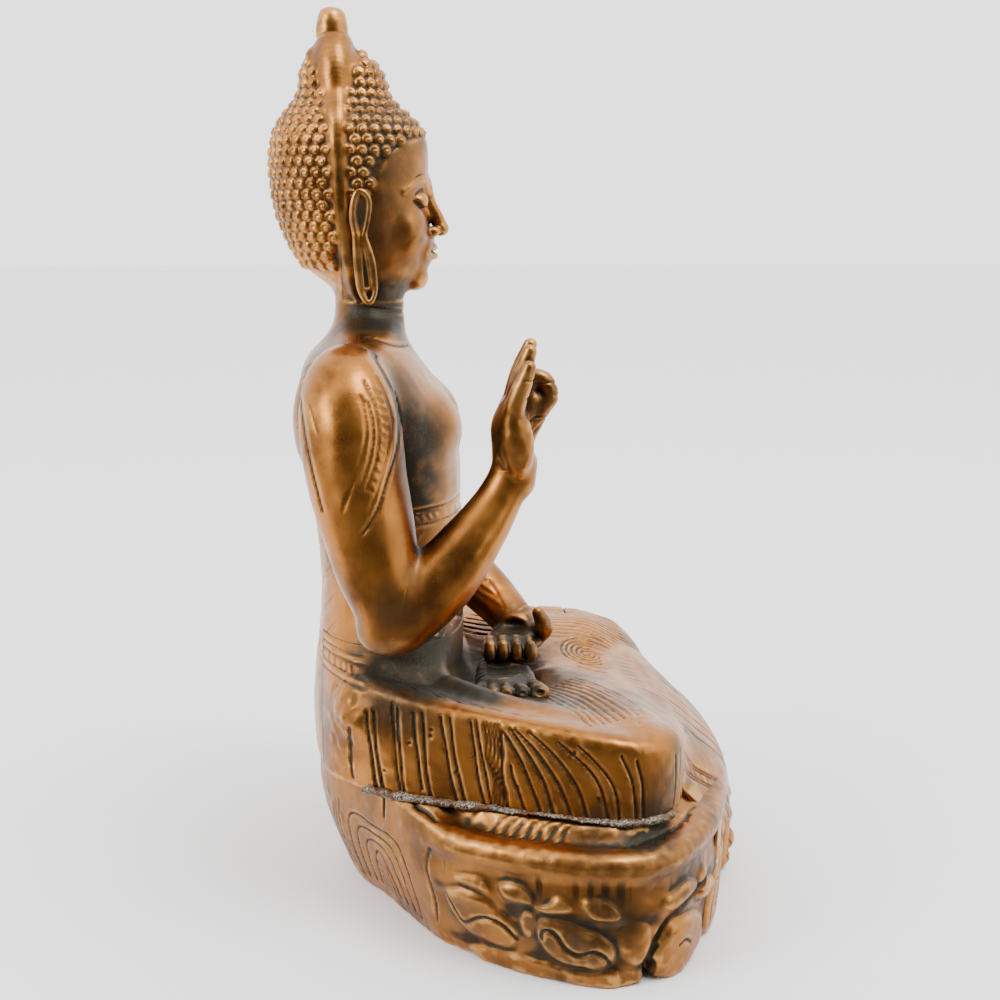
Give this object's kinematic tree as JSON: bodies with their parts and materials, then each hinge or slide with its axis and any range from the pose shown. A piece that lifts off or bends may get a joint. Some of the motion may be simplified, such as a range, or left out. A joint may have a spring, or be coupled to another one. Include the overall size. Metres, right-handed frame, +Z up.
{
  "type": "buddha statue",
  "caption": "Seated cast-metal Buddha with raised right hand, cross-legged on a bowl-shaped lotus base, brazed up from hollow castings.",
  "frame": {"origin": "centre of the footprint box on the ground under the base", "axes": "+Z up, the figure faces -Y, the figure's left is +X"},
  "size_m": [0.2658, 0.2042, 0.38],
  "materials": {
    "bronze": "sand-cast, filed and polished copper-toned brass with dark green-brown patina in the recesses",
    "dark_bronze": "as-cast brass under heavy dark patina",
    "braze": "rough granular braze, unpolished"
  },
  "bodies": {
    "root": {"finial": "bronze", "head_front": "bronze", "head_back": "bronze", "right_ear": "bronze", "left_ear": "bronze", "torso_front": "bronze", "torso_back": "bronze", "right_upper_arm": "bronze", "right_forearm": "bronze", "right_hand": "bronze", "left_upper_arm": "bronze", "left_forearm": "bronze", "left_hand": "bronze", "left_foot": "dark_bronze", "right_leg": "bronze", "left_leg": "bronze", "robe_front": "bronze", "base_front": "bronze", "base_back": "bronze", "right_thigh_braze": "braze", "left_thigh_braze": "braze"}
  },
  "joints": []
}
